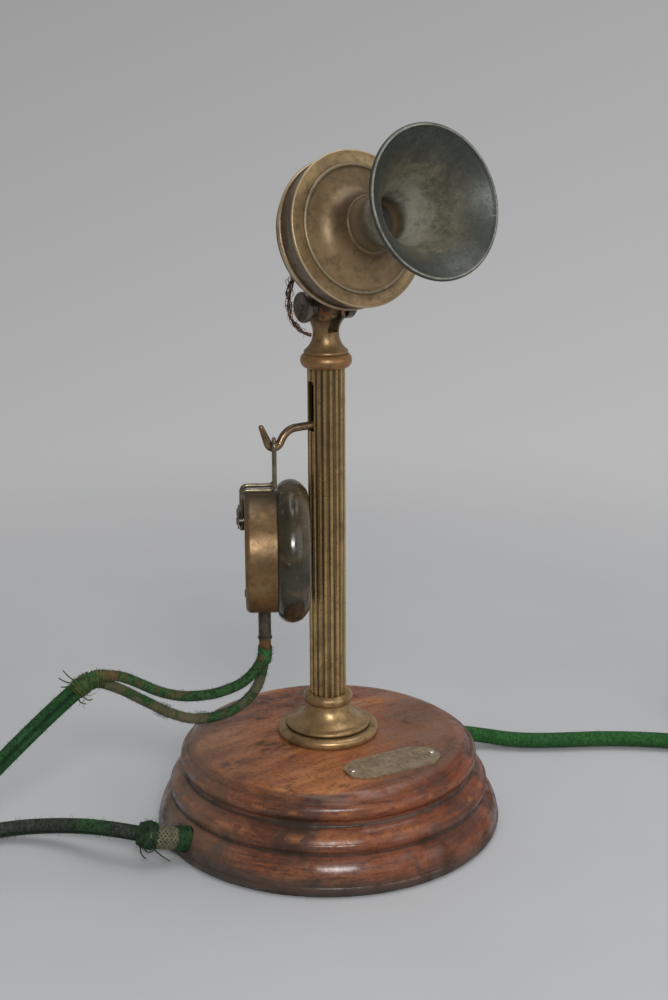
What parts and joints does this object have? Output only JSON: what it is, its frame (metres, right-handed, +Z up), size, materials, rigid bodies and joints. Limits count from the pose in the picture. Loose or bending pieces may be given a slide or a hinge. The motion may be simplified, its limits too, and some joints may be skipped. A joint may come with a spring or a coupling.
{
  "type": "candlestick telephone",
  "caption": "Antique candlestick desk telephone: round wooden base, fluted brass column, tilting horn transmitter, watch-case receiver on a switch hook, green cloth cords.",
  "frame": {"origin": "centre of the felt face that the base rests on", "axes": "+Z up the column; the transmitter faces -Y; the hook and receiver are on -X"},
  "size_m": [0.5635, 0.1796, 0.3059],
  "materials": {
    "aged_brass": "tarnished",
    "copper": "bare strands",
    "dark_brass": "tarnished",
    "felt": "matte felt",
    "fibre": "matte",
    "gasket": "matte",
    "green_cloth": "braided cloth",
    "hard_rubber": "polished",
    "iron": "rough",
    "nickel": "worn dark plating",
    "steel": "satin",
    "tape": "cotton tape",
    "thread": "whipped thread",
    "winding": "silk-covered wire",
    "wood": "varnished, worn"
  },
  "bodies": {
    "base": {"base_felt": "felt", "base_plate": "steel", "base_plate_screws": "steel", "base_turning": "wood", "base_weight": "iron", "column_flange": "aged_brass", "column_nut": "aged_brass", "column_screws": "aged_brass", "column_tube": "aged_brass", "column_washer": "aged_brass", "contact_springs": "aged_brass", "cord_bushes": "aged_brass", "head_yoke": "aged_brass", "hook_pivot_pin": "steel", "lead_wires": "copper", "line_cord": "green_cloth", "line_cord_coil": "green_cloth", "line_cord_ferrule": "aged_brass", "line_cord_terminals": "aged_brass", "line_cord_tie": "tape", "name_plate": "aged_brass", "name_plate_pins": "aged_brass", "pivot_bolt": "aged_brass", "pivot_nut": "aged_brass", "pivot_washers": "aged_brass", "receiver_cord": "green_cloth", "receiver_cord_branch_a": "green_cloth", "receiver_cord_branch_b": "green_cloth", "receiver_cord_sleeve": "thread", "receiver_cord_tie": "thread", "spring_insulators": "fibre", "spring_stack_screw": "aged_brass", "switch_frame": "aged_brass", "terminal_block": "fibre", "terminal_screws": "aged_brass"},
    "head": {"transmitter_face": "aged_brass", "transmitter_bezel": "aged_brass", "transmitter_cup": "aged_brass", "mouthpiece": "nickel", "mouthpiece_grille": "nickel", "diaphragm_gasket": "gasket", "transmitter_diaphragm": "aged_brass", "carbon_button": "aged_brass", "button_bridge": "aged_brass", "damping_springs": "aged_brass", "transmitter_lug": "aged_brass", "transmitter_screws": "aged_brass"},
    "hook": {"hook_lever": "dark_brass", "lever_button": "fibre"},
    "receiver": {"receiver_case": "dark_brass", "ear_cap": "hard_rubber", "receiver_diaphragm": "steel", "receiver_magnet": "steel", "pole_pieces": "steel", "receiver_coils": "winding", "receiver_bail": "dark_brass", "bail_clamp": "dark_brass", "receiver_screws": "dark_brass", "cord_ferrule": "dark_brass", "cord_binding": "thread"}
  },
  "joints": [
    {"name": "head_tilt", "type": "hinge", "parent": "base", "child": "head", "pos_m": [0, 0, 0.2304], "axis": [-1, 0, 0], "range_deg": [-35, 30], "deforming": ["lead_wires"]},
    {"name": "receiver_lift", "type": "slide", "parent": "base", "child": "receiver", "axis": [0, 0, 1], "range_m": [0, 0.02], "deforming": ["receiver_cord_branch_a", "receiver_cord_branch_b"]},
    {"name": "hook_rise", "type": "hinge", "parent": "base", "child": "hook", "pos_m": [0.0006, 0, 0.1807], "axis": [0, 1, 0], "range_deg": [0, 14]}
  ],
  "couplings": [
    {"joint": "hook_rise", "follows": "receiver_lift", "rad_per_m": 12.217}
  ]
}
